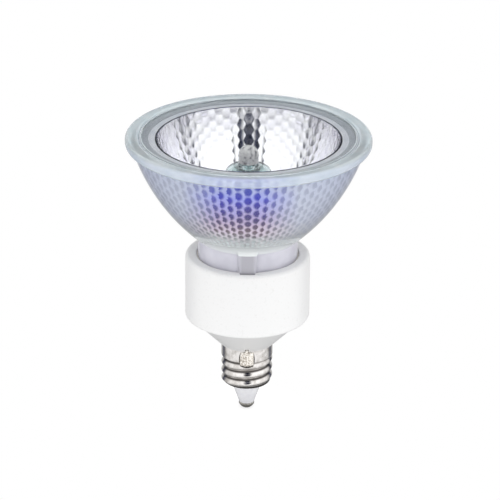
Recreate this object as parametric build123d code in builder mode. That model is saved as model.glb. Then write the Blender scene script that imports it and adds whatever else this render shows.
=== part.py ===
from build123d import *
from math import atan2, cos, hypot, pi, sin, sqrt
import os

# Dichroic halogen reflector lamp on a small screw cap, in millimetres. The lamp's axis is Z and the
# reflector's mouth is up. The origin lies on the axis, at the upper edge of the screw shell. The keyed
# side of the lamp, where one lead is soldered to the shell, faces -Y.

# Screw cap
shell_radius = 5.3
shell_height = 8.8
shell_wall = 0.4
skirt_height = 2.8
thread_pitch = 1.86
thread_depth = 0.45
thread_phase = 136.5
skirt_round = 0.25
shell_bottom_round = 0.5
cone_top_radius = 3.2
cone_tip_radius = 1.55
cone_length = 4.8
plug_height = 2.4
eyelet_height = 0.45
eyelet_overlap = 0.06
contact_dome_height = 0.95
side_solder_width = 3.4
side_solder_height = 3.7
side_solder_thickness = 0.5
side_solder_round = 0.9

# Ceramic base
ceramic_wall = 2.3
ceramic_foot_radius = 5.4
cone_rise = 6.1
cone_shoulder = 1.3
barrel_height = 13.85
barrel_round = 0.8
socket_depth = 5.85
seat_width = 1.9
chamber_floor = 1.4
stem_bore_radius = 3.0
key_notch_depth = 1.1

# Reflector
neck_radius = 10.2
neck_length = 9.0
throat_radius = 6.6
throat_rise = 1.9
throat_margin = 0.6
bowl_depth = 20.0
bowl_bulge = 1.73
rim_radius = 25.0
rim_overhang = 1.3
rim_thickness = 2.0
rim_round = 0.8
rim_inner_round = 0.7
rim_face_width = 2.8
ledge_width = 3.5
mirror_bulge = 1.8
facets_around = 36
facet_stretch = 0.55
rib_top_width = 3.9
rib_rim_width = 2.8
rib_height = 1.1

# Front glass
front_glass_thickness = 1.2
front_glass_setback = 0.1
front_glass_seal_thickness = 0.15
front_glass_seal_width = 1.4
front_glass_bevel = 0.3

# Capsule
bulb_radius = 4.8
bulb_wall = 1.0
nub_radius = 2.05
nub_height = 4.4
nub_bore_radius = 0.9
nub_clearance = 1.7
shoulder_round = 0.9
pinch_thickness = 3.2
pinch_width = 9.4
pinch_height = 8.6
pinch_blend = 3.0
pinch_rise = 2.4
foil_thickness = 0.12
foil_width = 2.2
foil_length = 6.2
foil_weld = 1.0
foil_cover = 1.2
lead_spacing = 4.8
inner_lead_radius = 0.25
outer_lead_radius = 0.35
coil_radius = 0.6
coil_wire_radius = 0.2
coil_pitch = 1.0
coil_end_clearance = 2.4
coil_seat = 0.9

# Wiring in the base
splice_radius = 0.9
splice_length = 4.0
fuse_radius = 1.5
fuse_wall = 0.4
fuse_length = 6.0
fuse_end = 0.8
fuse_link_radius = 0.12
lead_drop = 1.6
wire_radius = 0.3
wire_bend = 0.7
wire_exit_height = 0.5
sleeve_wall = 0.35

# Fits
cement_skin = 0.3
cement_bed = 0.5
cement_rise = 2.8
glass_clearance = 0.2
spigot_clearance = 0.05
plug_clearance = 0.05
wire_clearance = 0.05
notch_clearance = 0.15
thread_relief = 0.02
bury = 0.3

# Heights that follow from the sizes above
ceramic_top = cone_rise + barrel_height
socket_floor = ceramic_top - socket_depth
neck_bottom = socket_floor + cement_bed
neck_top = neck_bottom + neck_length
rim_bottom = neck_top + bowl_depth
rim_top = rim_bottom + rim_thickness
front_glass_top = rim_top - front_glass_setback
front_glass_bottom = front_glass_top - front_glass_thickness
ledge_height = front_glass_bottom - front_glass_seal_thickness
throat_top = neck_top + throat_rise

# Radii that follow from the sizes above
bowl_top_radius = rim_radius - rim_overhang
recess_radius = rim_radius - rim_face_width
mouth_radius = recess_radius - ledge_width
mirror_throat_radius = throat_radius + throat_margin
thread_root_radius = shell_radius - thread_depth
socket_radius = neck_radius + cement_skin
ceramic_radius = socket_radius + ceramic_wall
chamber_radius = socket_radius - seat_width
skirt_bore_radius = shell_radius - shell_wall
shell_bore_radius = thread_root_radius - shell_wall

# Mirror curve: an arc from the mouth down to the throat, in (radius, height)
chord_run = mouth_radius - mirror_throat_radius
chord_drop = ledge_height - throat_top
chord = hypot(chord_run, chord_drop)
arc_radius = (chord * chord / 4 + mirror_bulge * mirror_bulge) / (2 * mirror_bulge)
centre_offset = arc_radius - mirror_bulge
arc_centre_radius = (mouth_radius + mirror_throat_radius) / 2 - chord_drop / chord * centre_offset
arc_centre_height = (ledge_height + throat_top) / 2 + chord_run / chord * centre_offset


def mirror_radius(slope):
    """Radius of the mirror curve where it leans out by this angle from the axis."""
    return arc_centre_radius + arc_radius * cos(slope)


def row_step(slope):
    """Angle from one half row of facets to the next, so that cells shrink towards the throat."""
    return facet_stretch * pi / facets_around * sqrt(mirror_radius(slope) * cos(slope) / arc_radius)


# Half rows of facets, from a few above the ledge to the first inside the throat
rows_above_ledge = 4
mouth_slope = atan2(arc_centre_height - ledge_height, mouth_radius - arc_centre_radius)
row_slopes = [mouth_slope - rows_above_ledge * row_step(mouth_slope)]
while mirror_radius(row_slopes[-1]) > throat_radius:
    row_slopes.append(row_slopes[-1] + row_step(row_slopes[-1]))
half_cell = pi / facets_around


def facet_plane(row, turn):
    """Outward normal and distance of the plane that touches the mirror in this row, at this azimuth."""
    slope = row_slopes[row]
    normal = Vector(cos(slope) * cos(turn), cos(slope) * sin(turn), -sin(slope))
    centre_distance = arc_centre_radius * cos(slope) - arc_centre_height * sin(slope)
    return normal, centre_distance + arc_radius


def facet_corner(row, turn, side):
    """Corner where a facet meets the one two half rows below it and the facet beside both."""
    first, first_distance = facet_plane(row, turn)
    below, below_distance = facet_plane(row + 2, turn)
    beside, beside_distance = facet_plane(row + 1, turn + side * half_cell)
    meeting = (
        below.cross(beside) * first_distance
        + beside.cross(first) * below_distance
        + first.cross(below) * beside_distance
    )
    return meeting / first.dot(below.cross(beside))


def facet(row, turn):
    """Six-sided flat facet of the honeycomb."""
    corners = [
        facet_corner(row - 2, turn, -1),
        facet_corner(row - 2, turn, 1),
        facet_corner(row - 1, turn + half_cell, -1),
        facet_corner(row, turn, 1),
        facet_corner(row, turn, -1),
        facet_corner(row - 1, turn - half_cell, 1),
    ]
    return Face(Wire.make_polygon(corners))


def closing_fan(upper_row, lower_row, apex, turn):
    """Flat triangles from the ragged edge of the honeycomb to a point on the axis, for one cell."""
    edge = [
        facet_corner(upper_row, turn, -1),
        facet_corner(upper_row, turn, 1),
        facet_corner(lower_row, turn + half_cell, -1),
        facet_corner(lower_row, turn + half_cell, 1),
        facet_corner(upper_row, turn + 2 * half_cell, -1),
    ]
    return [Face(Wire.make_polygon([apex, a, b])) for a, b in zip(edge, edge[1:])]


# Honeycomb cavity: every facet is flat and touches the mirror curve, so the cavity is a convex solid
last_row = len(row_slopes) - 3
turn_offset = [row % 2 * half_cell for row in range(len(row_slopes))]
cavity_faces = []
for cell in range(facets_around):
    cell_turn = 2 * half_cell * cell - pi / 2
    for row in range(2, last_row + 1):
        cavity_faces.append(facet(row, cell_turn + turn_offset[row]))
    top_apex = Vector(0, 0, rim_top)
    cavity_faces += closing_fan(0, 1, top_apex, cell_turn)
    throat_apex = Vector(0, 0, neck_top)
    low_turn = cell_turn + turn_offset[last_row]
    cavity_faces += closing_fan(last_row, last_row - 1, throat_apex, low_turn)
honeycomb_cavity = Solid(Shell(cavity_faces))

# Reflector: pressed glass, with the rim, the ledge for the front glass, the honeycomb, the neck and its rib
with BuildPart() as reflector:
    with BuildSketch(Plane.XZ) as glass_section:
        with BuildLine():
            Polyline(
                (bowl_top_radius, rim_bottom),
                (rim_radius, rim_bottom),
                (rim_radius, rim_top),
                (recess_radius, rim_top),
                (recess_radius, ledge_height),
                (throat_radius, ledge_height),
                (throat_radius, neck_bottom),
                (neck_radius, neck_bottom),
                (neck_radius, neck_top),
            )
            SagittaArc((neck_radius, neck_top), (bowl_top_radius, rim_bottom), -bowl_bulge)
        make_face()
        fillet(glass_section.vertices().group_by(Axis.X)[-1], rim_round)
        fillet(glass_section.vertices().group_by(Axis.Y)[-1].sort_by(Axis.X)[0], rim_inner_round)
    revolve(axis=Axis.Z)
    rib_taper = (rib_top_width - rib_rim_width) / (neck_top - ceramic_top) / 2
    rib_bottom = ceramic_top - key_notch_depth
    rib_top = neck_top + rib_height
    with BuildSketch(Plane.XZ.offset(neck_radius - bury)):
        with BuildLine():
            Polyline(
                (-rib_rim_width / 2 + rib_taper * key_notch_depth, rib_bottom),
                (rib_rim_width / 2 - rib_taper * key_notch_depth, rib_bottom),
                (rib_top_width / 2, neck_top),
                (rib_top_width / 2, rib_top),
                (-rib_top_width / 2, rib_top),
                (-rib_top_width / 2, neck_top),
                close=True,
            )
        make_face()
    extrude(amount=rib_height + bury)
    add(honeycomb_cavity, mode=Mode.SUBTRACT)

# Front glass: flat disc with bevelled edges, on its adhesive ring
front_glass_radius = recess_radius - glass_clearance
with BuildPart() as front_glass:
    with BuildSketch(Plane.XY.offset(front_glass_bottom)):
        Circle(front_glass_radius)
    extrude(amount=front_glass_thickness)
    chamfer(front_glass.edges(), front_glass_bevel)

with BuildPart() as front_glass_seal:
    with BuildSketch(Plane.XY.offset(ledge_height)):
        Circle(front_glass_radius - front_glass_bevel)
        Circle(front_glass_radius - front_glass_bevel - front_glass_seal_width, mode=Mode.SUBTRACT)
    extrude(amount=front_glass_seal_thickness)

# Capsule heights
pinch_bottom = neck_bottom + pinch_rise
pinch_top = pinch_bottom + pinch_height
bulb_bottom = pinch_top + pinch_blend
nub_top = front_glass_bottom - nub_clearance
shoulder_height = nub_top - nub_height
bulb_bore_radius = bulb_radius - bulb_wall
bore_floor = bulb_bottom - bulb_wall
bore_ceiling = shoulder_height - bulb_wall
foil_bottom = pinch_bottom + foil_cover
foil_top = foil_bottom + foil_length
coil_bottom = bore_floor + coil_end_clearance
coil_top = bore_ceiling - coil_end_clearance
lead_x = lead_spacing / 2
inner_lead_y = foil_thickness / 2 + inner_lead_radius
outer_lead_y = foil_thickness / 2 + outer_lead_radius

# Filament: a coil on the lamp's axis
with BuildPart() as filament:
    with BuildLine() as coil_path:
        Helix(coil_pitch, coil_top - coil_bottom, coil_radius, center=(0, 0, coil_bottom))
    with BuildSketch(Plane(origin=coil_path.line @ 0, z_dir=coil_path.line % 0)):
        Circle(coil_wire_radius)
    sweep(is_frenet=True)

# Inner leads: each stands on its foil, and its free end carries one end of the coil
with BuildPart() as inner_lead_short:
    with BuildLine() as short_path:
        FilletPolyline(
            (-lead_x, inner_lead_y, foil_top - foil_weld),
            (-lead_x, inner_lead_y, bore_floor + coil_seat),
            (0, 0, bore_floor + coil_seat),
            (0, 0, coil_bottom + coil_seat),
            radius=wire_bend,
        )
    with BuildSketch(Plane(origin=short_path.line @ 0, z_dir=short_path.line % 0)):
        Circle(inner_lead_radius)
    sweep()

with BuildPart() as inner_lead_long:
    with BuildLine() as long_path:
        FilletPolyline(
            (lead_x, inner_lead_y, foil_top - foil_weld),
            (lead_x, inner_lead_y, coil_top + coil_seat),
            (0, 0, coil_top + coil_seat),
            (0, 0, coil_top - coil_seat),
            radius=wire_bend,
        )
    with BuildSketch(Plane(origin=long_path.line @ 0, z_dir=long_path.line % 0)):
        Circle(inner_lead_radius)
    sweep()

# Seal foils: thin strips in the pinch
with BuildPart() as seal_foil_left:
    with BuildSketch(Plane.XY.offset(foil_bottom)):
        with Locations((-lead_x, 0)):
            Rectangle(foil_width, foil_thickness)
    extrude(amount=foil_length)

with BuildPart() as seal_foil_right:
    add(mirror(seal_foil_left.part, about=Plane.YZ, mode=Mode.PRIVATE))

# Outer leads: from the foils straight down into the base's chamber
lead_end = socket_floor - lead_drop
outer_lead_top = foil_bottom + foil_weld
with BuildPart() as outer_lead_left:
    with BuildSketch(Plane.XY.offset(lead_end)):
        with Locations((-lead_x, outer_lead_y)):
            Circle(outer_lead_radius)
    extrude(amount=outer_lead_top - lead_end)

with BuildPart() as outer_lead_right:
    add(mirror(outer_lead_left.part, about=Plane.YZ, mode=Mode.PRIVATE))

# Capsule: quartz tube with a tip-off nub on top and a flat pinch below, closed round foils and leads
with BuildPart() as capsule_bulb:
    with BuildSketch(Plane.XZ) as bulb_section:
        with BuildLine():
            Line((0, bulb_bottom), (bulb_radius, bulb_bottom))
            Line((bulb_radius, bulb_bottom), (bulb_radius, shoulder_height))
            Line((bulb_radius, shoulder_height), (nub_radius, shoulder_height))
            Line((nub_radius, shoulder_height), (nub_radius, nub_top - nub_radius))
            RadiusArc((nub_radius, nub_top - nub_radius), (0, nub_top), -nub_radius)
            Line((0, nub_top), (0, bulb_bottom))
        make_face()
        shoulder_corners = bulb_section.vertices().filter_by_position(
            Axis.Y, shoulder_height - bury, shoulder_height + bury
        )
        fillet(shoulder_corners, shoulder_round)
    revolve(axis=Axis.Z)
    with BuildSketch(Plane.XY.offset(bulb_bottom)):
        Circle(bulb_radius)
    with BuildSketch(Plane.XY.offset(pinch_top)):
        RectangleRounded(pinch_width, pinch_thickness, pinch_thickness / 4)
    loft()
    with BuildSketch(Plane.XY.offset(pinch_bottom)):
        RectangleRounded(pinch_width, pinch_thickness, pinch_thickness / 4)
    extrude(amount=pinch_height)
    with BuildSketch(Plane.XZ) as bore_section:
        with BuildLine():
            Polyline(
                (0, bore_floor),
                (bulb_bore_radius, bore_floor + bulb_wall),
                (bulb_bore_radius, bore_ceiling),
                (nub_bore_radius, bore_ceiling + bulb_wall),
                (nub_bore_radius, nub_top - 2 * bulb_wall),
                (0, nub_top - 2 * bulb_wall + nub_bore_radius),
                close=True,
            )
        make_face()
    revolve(axis=Axis.Z, mode=Mode.SUBTRACT)
    for embedded in (inner_lead_short, inner_lead_long, seal_foil_left, seal_foil_right):
        add(embedded.part, mode=Mode.SUBTRACT)
    for embedded in (outer_lead_left, outer_lead_right):
        add(embedded.part, mode=Mode.SUBTRACT)

# Capsule cement: fills the throat round the pinch and the leads below it
with BuildPart() as capsule_cement:
    with BuildSketch(Plane.XY.offset(pinch_bottom - cement_bed)):
        Circle(throat_radius)
    extrude(amount=pinch_height - cement_bed)
    with BuildSketch(Plane.XY.offset(pinch_bottom)):
        RectangleRounded(pinch_width, pinch_thickness, pinch_thickness / 4)
    extrude(amount=pinch_height, mode=Mode.SUBTRACT)
    for embedded in (outer_lead_left, outer_lead_right):
        add(embedded.part, mode=Mode.SUBTRACT)

# Ceramic base: barrel and cone in one, hollow, with a spigot for the shell and a notch for the rib
spigot_radius = skirt_bore_radius - spigot_clearance
spigot_bottom = -skirt_height + shell_wall + spigot_clearance
wire_hole_radius = wire_radius + wire_clearance
with BuildPart() as ceramic_base:
    with BuildSketch(Plane.XZ) as ceramic_section:
        with BuildLine():
            Polyline(
                (stem_bore_radius, spigot_bottom),
                (spigot_radius, spigot_bottom),
                (spigot_radius, 0),
                (ceramic_foot_radius, 0),
                (ceramic_radius - cone_shoulder, cone_rise),
                (ceramic_radius, cone_rise),
                (ceramic_radius, ceramic_top),
                (socket_radius, ceramic_top),
                (socket_radius, socket_floor),
                (chamber_radius, socket_floor),
                (chamber_radius, chamber_floor + chamber_radius - stem_bore_radius),
                (stem_bore_radius, chamber_floor),
                close=True,
            )
        make_face()
        fillet(ceramic_section.vertices().group_by(Axis.X)[-1], barrel_round)
    revolve(axis=Axis.Z)
    with BuildSketch(Plane.XY.offset(ceramic_top)):
        with Locations((0, -socket_radius)):
            Rectangle(rib_rim_width + 2 * notch_clearance, 2 * (rib_height + notch_clearance))
    extrude(amount=-key_notch_depth - notch_clearance, mode=Mode.SUBTRACT)
    with BuildSketch(Plane.XZ):
        Rectangle(2 * wire_hole_radius, wire_exit_height + wire_hole_radius, align=(Align.CENTER, Align.MIN))
    extrude(amount=ceramic_radius, mode=Mode.SUBTRACT)

# Base cement: bed under the neck and a skin between neck and socket
with BuildPart() as base_cement:
    with BuildSketch(Plane.XZ):
        with BuildLine():
            Polyline(
                (chamber_radius, socket_floor),
                (socket_radius, socket_floor),
                (socket_radius, neck_bottom + cement_rise),
                (neck_radius, neck_bottom + cement_rise),
                (neck_radius, neck_bottom),
                (chamber_radius, neck_bottom),
                close=True,
            )
        make_face()
    revolve(axis=Axis.Z)

# Screw shell: rolled sheet with a plain skirt, a round thread and a turned-in bottom. An off-centre circle
# that turns once for each pitch as it rises has round crests and round roots, as a rolled thread has.
hole_radius = cone_top_radius + plug_clearance
thread_bottom = -shell_height + shell_bottom_round
thread_rise = -skirt_height - thread_bottom + bury
thread_throw = (thread_depth - thread_relief) / 2
thread_turns = 360 * thread_rise / thread_pitch
with BuildSketch(Plane.XY.offset(thread_bottom)) as thread_section:
    with PolarLocations(thread_throw, 1, start_angle=thread_phase):
        Circle(thread_root_radius + thread_throw)
rolled_thread = Solid.extrude_linear_with_rotation(
    thread_section.sketch.face(), (0, 0, thread_bottom), (0, 0, thread_rise), thread_turns
)
with BuildPart() as screw_shell:
    add(rolled_thread)
    with BuildSketch(Plane.XZ) as skirt_section:
        with Locations((0, -skirt_height)):
            Rectangle(shell_radius, skirt_height, align=Align.MIN)
        fillet(skirt_section.vertices().group_by(Axis.Y)[0].sort_by(Axis.X)[-1], skirt_round)
    revolve(axis=Axis.Z)
    with BuildSketch(Plane.XZ) as bottom_section:
        with Locations((0, -shell_height)):
            Rectangle(thread_root_radius - thread_relief, shell_bottom_round + bury, align=Align.MIN)
        fillet(bottom_section.vertices().group_by(Axis.Y)[0].sort_by(Axis.X)[-1], shell_bottom_round)
    revolve(axis=Axis.Z)
    with BuildSketch(Plane.XZ):
        with BuildLine():
            Polyline(
                (0, 0),
                (skirt_bore_radius, 0),
                (skirt_bore_radius, -skirt_height + shell_wall),
                (shell_bore_radius, -skirt_height),
                (shell_bore_radius, -shell_height + shell_wall),
                (hole_radius, -shell_height + shell_wall),
                (hole_radius, -shell_height),
                (0, -shell_height),
                close=True,
            )
        make_face()
    revolve(axis=Axis.Z, mode=Mode.SUBTRACT)

# Insulator: white cone below the shell, with a plug that closes the shell from inside
plug_bottom = -shell_height + shell_wall
cone_bottom = -shell_height - cone_length
with BuildPart() as insulator:
    with BuildSketch(Plane.XZ):
        with BuildLine():
            Polyline(
                (wire_hole_radius, cone_bottom),
                (cone_tip_radius, cone_bottom),
                (cone_top_radius, -shell_height),
                (cone_top_radius, plug_bottom),
                (shell_bore_radius - plug_clearance, plug_bottom),
                (shell_bore_radius - plug_clearance, plug_bottom + plug_height),
                (wire_hole_radius, plug_bottom + plug_height),
                close=True,
            )
        make_face()
    revolve(axis=Axis.Z)

# Centre contact: eyelet on the cone's tip, with a dome of solder under it
eyelet_bottom = cone_bottom - eyelet_height
with BuildPart() as centre_contact:
    with BuildSketch(Plane.XY.offset(eyelet_bottom)):
        Circle(cone_tip_radius + eyelet_overlap)
        Circle(wire_hole_radius, mode=Mode.SUBTRACT)
    extrude(amount=eyelet_height)

with BuildPart() as contact_solder:
    with BuildSketch(Plane.XZ):
        with BuildLine():
            Line((0, eyelet_bottom), (cone_tip_radius, eyelet_bottom))
            RadiusArc(
                (cone_tip_radius, eyelet_bottom),
                (0, eyelet_bottom - contact_dome_height),
                (cone_tip_radius**2 + contact_dome_height**2) / (2 * contact_dome_height),
            )
            Line((0, eyelet_bottom - contact_dome_height), (0, eyelet_bottom))
        make_face()
    revolve(axis=Axis.Z)

# Fuse: glass tube on the right lead, with a thin link between the lead and the centre wire
fuse_top = lead_end + fuse_end
fuse_bottom = fuse_top - fuse_length
centre_wire_top = fuse_bottom + fuse_end
with BuildPart() as fuse_tube:
    with BuildSketch(Plane.XZ.offset(-outer_lead_y)):
        with BuildLine():
            Polyline(
                (lead_x + outer_lead_radius, fuse_bottom),
                (lead_x + fuse_radius, fuse_bottom),
                (lead_x + fuse_radius, fuse_top),
                (lead_x + outer_lead_radius, fuse_top),
                (lead_x + outer_lead_radius, lead_end),
                (lead_x + fuse_radius - fuse_wall, lead_end),
                (lead_x + fuse_radius - fuse_wall, centre_wire_top),
                (lead_x + outer_lead_radius, centre_wire_top),
                close=True,
            )
        make_face()
    revolve(axis=Axis((lead_x, outer_lead_y, 0), (0, 0, 1)))

with BuildPart() as fuse_link:
    with BuildSketch(Plane.XY.offset(centre_wire_top)):
        with Locations((lead_x, outer_lead_y)):
            Circle(fuse_link_radius)
    extrude(amount=lead_end - centre_wire_top)

# Centre wire: from the fuse to the axis and down through the insulator to the eyelet
with BuildPart() as centre_wire:
    with BuildLine() as centre_path:
        FilletPolyline(
            (lead_x, outer_lead_y, centre_wire_top),
            (lead_x, outer_lead_y, chamber_floor + lead_x),
            (0, 0, chamber_floor),
            (0, 0, eyelet_bottom),
            radius=wire_bend,
        )
    with BuildSketch(Plane(origin=centre_path.line @ 0, z_dir=centre_path.line % 0)):
        Circle(wire_radius)
    sweep()

# Shell wire: from the splice to the front, out through the ceramic and down over the shell's edge
splice_bottom = lead_end - splice_length / 2
wire_drop_y = -(stem_bore_radius - wire_radius - sleeve_wall - 2 * wire_clearance)
wire_front_y = -(shell_radius + wire_radius + wire_clearance)
wire_tail = -skirt_height
with BuildPart() as shell_wire:
    with BuildLine() as shell_wire_path:
        FilletPolyline(
            (-lead_x, outer_lead_y, lead_end),
            (-lead_x, outer_lead_y, splice_bottom - wire_bend),
            (0, wire_drop_y, chamber_floor + lead_x),
            (0, wire_drop_y, wire_exit_height),
            (0, wire_front_y, wire_exit_height),
            (0, wire_front_y, wire_tail),
            radius=(wire_bend, wire_bend, wire_bend, wire_exit_height),
        )
    with BuildSketch(Plane(origin=shell_wire_path.line @ 0, z_dir=shell_wire_path.line % 0)):
        Circle(wire_radius)
    sweep()

with BuildPart() as splice_sleeve:
    with BuildSketch(Plane.XY.offset(splice_bottom)):
        with Locations((-lead_x, outer_lead_y)):
            Circle(splice_radius)
            Circle(outer_lead_radius, mode=Mode.SUBTRACT)
    extrude(amount=splice_length)

with BuildPart() as insulating_sleeve:
    with BuildSketch(Plane.XY.offset(wire_exit_height + wire_bend)):
        with Locations((0, wire_drop_y)):
            Circle(wire_radius + wire_clearance + sleeve_wall)
            Circle(wire_radius + wire_clearance, mode=Mode.SUBTRACT)
    extrude(amount=chamber_floor + lead_x - wire_exit_height - 2 * wire_bend)

# Side solder: pad over the shell wire, moulded to the skirt and the first thread
with BuildPart() as side_solder:
    with BuildSketch(Plane.XY):
        Circle(shell_radius + side_solder_thickness)
        Circle(skirt_bore_radius, mode=Mode.SUBTRACT)
    extrude(amount=-side_solder_height)
    with BuildSketch(Plane.XZ):
        with Locations((0, -side_solder_height / 2)):
            RectangleRounded(side_solder_width, side_solder_height, side_solder_round)
    extrude(amount=2 * shell_radius, mode=Mode.INTERSECT)
    add(screw_shell.part, mode=Mode.SUBTRACT)
    add(shell_wire.part, mode=Mode.SUBTRACT)

# One STEP file for each piece
pieces = {
    "reflector": reflector,
    "front_glass": front_glass,
    "front_glass_seal": front_glass_seal,
    "capsule_bulb": capsule_bulb,
    "filament": filament,
    "inner_lead_short": inner_lead_short,
    "inner_lead_long": inner_lead_long,
    "seal_foil_left": seal_foil_left,
    "seal_foil_right": seal_foil_right,
    "outer_lead_left": outer_lead_left,
    "outer_lead_right": outer_lead_right,
    "capsule_cement": capsule_cement,
    "ceramic_base": ceramic_base,
    "base_cement": base_cement,
    "screw_shell": screw_shell,
    "insulator": insulator,
    "centre_contact": centre_contact,
    "contact_solder": contact_solder,
    "fuse_tube": fuse_tube,
    "fuse_link": fuse_link,
    "centre_wire": centre_wire,
    "shell_wire": shell_wire,
    "splice_sleeve": splice_sleeve,
    "insulating_sleeve": insulating_sleeve,
    "side_solder": side_solder,
}
os.makedirs("parts", exist_ok=True)
for label, piece in pieces.items():
    piece.part.label = label
    export_step(piece.part, f"parts/{label}.step")
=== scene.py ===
from math import acos, atan2, copysign, cos, hypot, pi, radians, sin, sqrt, tan

import bmesh
import bpy
from mathutils import Matrix, Vector


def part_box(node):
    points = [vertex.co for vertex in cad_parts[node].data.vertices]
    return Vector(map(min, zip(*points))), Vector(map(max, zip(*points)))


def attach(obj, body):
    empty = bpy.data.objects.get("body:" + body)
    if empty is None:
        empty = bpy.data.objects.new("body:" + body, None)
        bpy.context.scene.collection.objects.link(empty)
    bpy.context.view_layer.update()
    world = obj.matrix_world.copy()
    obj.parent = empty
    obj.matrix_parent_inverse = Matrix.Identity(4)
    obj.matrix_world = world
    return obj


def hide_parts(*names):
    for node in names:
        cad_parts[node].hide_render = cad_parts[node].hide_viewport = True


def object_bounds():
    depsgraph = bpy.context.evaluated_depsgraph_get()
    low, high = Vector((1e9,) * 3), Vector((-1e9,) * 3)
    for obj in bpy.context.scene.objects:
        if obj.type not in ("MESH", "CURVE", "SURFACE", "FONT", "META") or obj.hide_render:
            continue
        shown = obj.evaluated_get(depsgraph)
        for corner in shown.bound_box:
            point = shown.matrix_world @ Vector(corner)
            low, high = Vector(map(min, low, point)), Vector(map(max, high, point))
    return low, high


# A reflector lamp on a small screw cap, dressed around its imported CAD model. Each section is one piece or
# one group of like pieces, in the order in which such a lamp is put together. The studio comes last.
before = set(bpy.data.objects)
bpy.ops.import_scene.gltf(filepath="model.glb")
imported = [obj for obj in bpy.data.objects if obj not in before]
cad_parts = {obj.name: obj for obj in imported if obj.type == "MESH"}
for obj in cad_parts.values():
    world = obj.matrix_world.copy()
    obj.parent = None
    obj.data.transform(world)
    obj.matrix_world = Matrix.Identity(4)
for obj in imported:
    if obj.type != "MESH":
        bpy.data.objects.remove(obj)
cad_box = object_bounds()


# Quartz capsule
# A tube of fused quartz, drawn out to a nub where it was filled and sealed, and pressed flat below. The
# flat pinch is gas-tight round the foils of both leads, and cement holds it in the reflector's throat.
mm = 0.001
bulb_radius = 4.8 * mm
bulb_wall = 1.0 * mm
bulb_round = 1.8 * mm
bore_foot_round = 1.5 * mm
bore_shoulder_round = 1.2 * mm
nub_radius = 2.05 * mm
nub_height = 4.4 * mm
nub_foot_round = 0.9 * mm
nub_tip_round = 0.9 * nub_radius
nub_tip_wall = 2.0 * mm
nub_bore_radius = 0.9 * mm
nub_bore_foot_round = 0.6 * mm
nub_bore_tip_round = 0.7 * mm
pinch_half_width = 4.7 * mm
pinch_half_depth = 1.6 * mm
pinch_height = 8.6 * mm
pinch_blend = 3.0 * mm
pinch_squareness = 7
blend_steps = 10
capsule_low, capsule_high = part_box("capsule_bulb")
bulb_bottom = capsule_low.z + pinch_height + pinch_blend
nub_top = capsule_high.z
shoulder_height = nub_top - nub_height
ring_steps = 180
crease_angle = radians(40)


def eased(value, start, end):
    """0 before start, 1 after end, and a soft step between them."""
    share = max(0, min(1, (value - start) / (end - start)))
    return share * share * (3 - 2 * share)


def ring(half_width, half_depth, height, squareness=2, steps=ring_steps):
    """Points round the axis at one height: a circle, or nearer to a rectangle as squareness grows."""
    if half_width == 0:
        return [Vector((0, 0, height))]
    points = []
    for step in range(steps):
        turn = 2 * pi * step / steps
        across = copysign(half_width * abs(cos(turn)) ** (2 / squareness), cos(turn))
        deep = copysign(half_depth * abs(sin(turn)) ** (2 / squareness), sin(turn))
        points.append(Vector((across, deep, height)))
    return points


def softened(corners, steps=6, margin=1.05):
    """Outline through (radius, height, rounding) corners: an arc rounds off each corner, and a point close
    to each end of the arc keeps the shading of the straight run beside it flat."""
    outline = []
    for index, (radius, height, rounding) in enumerate(corners):
        corner = Vector((radius, height))
        if rounding == 0:
            outline.append(corner)
            continue
        before = (Vector(corners[index - 1][:2]) - corner).normalized()
        after = (Vector(corners[(index + 1) % len(corners)][:2]) - corner).normalized()
        half_angle = acos(max(-1, min(1, before.dot(after)))) / 2
        middle = corner + (before + after).normalized() * rounding / sin(half_angle)
        run = rounding / tan(half_angle)
        start = corner + before * run - middle
        end = corner + after * run - middle
        sweep = start.angle_signed(end)
        outline.append(corner + before * run * margin)
        for step in range(steps + 1):
            outline.append(middle + Matrix.Rotation(-sweep * step / steps, 2) @ start)
        outline.append(corner + after * run * margin)
    return outline


def skin(bm, rings, closed=False):
    """Faces from each ring of points to the next. A ring may be a single point on the axis."""
    rows = [[bm.verts.new(point) for point in points] for points in rings]
    faces = []
    for low, high in zip(rows, rows[1:] + rows[:1] if closed else rows[1:]):
        for step in range(max(len(low), len(high))):
            corners = [low[step % len(low)], low[(step + 1) % len(low)]]
            corners += [high[(step + 1) % len(high)], high[step % len(high)]]
            faces.append(bm.faces.new(dict.fromkeys(corners)))
    bmesh.ops.recalc_face_normals(bm, faces=faces)
    return faces


def turned(bm, outline, closed=False, steps=ring_steps):
    """Surface of revolution round the lamp's axis."""
    return skin(bm, [ring(radius, radius, height, steps=steps) for radius, height in outline], closed)


def add_piece(name, bm, finishes, crease=crease_angle):
    """Object from a finished bmesh, smooth except where two faces meet at more than the crease angle."""
    mesh = bpy.data.meshes.new(name)
    bm.to_mesh(mesh)
    bm.free()
    for finish in finishes:
        mesh.materials.append(finish)
    mesh.shade_smooth()
    mesh.set_sharp_from_angle(angle=crease)
    piece = bpy.data.objects.new(name, mesh)
    bpy.context.scene.collection.objects.link(piece)
    return piece


def linear(colour):
    """sRGB hex value as the linear colour that a shader takes."""
    shares = [int(colour[place:place + 2], 16) / 255 for place in (1, 3, 5)]
    return [s / 12.92 if s <= 0.04045 else ((s + 0.055) / 1.055) ** 2.4 for s in shares] + [1]


def new_material(name, finish):
    """Material, its node tree and its shader, with the values that are the same all over set."""
    made = bpy.data.materials.new(name)
    made.use_nodes = True
    shader = made.node_tree.nodes["Principled BSDF"]
    for socket, value in finish.items():
        shader.inputs[socket].default_value = value
    return made, made.node_tree, shader


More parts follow.
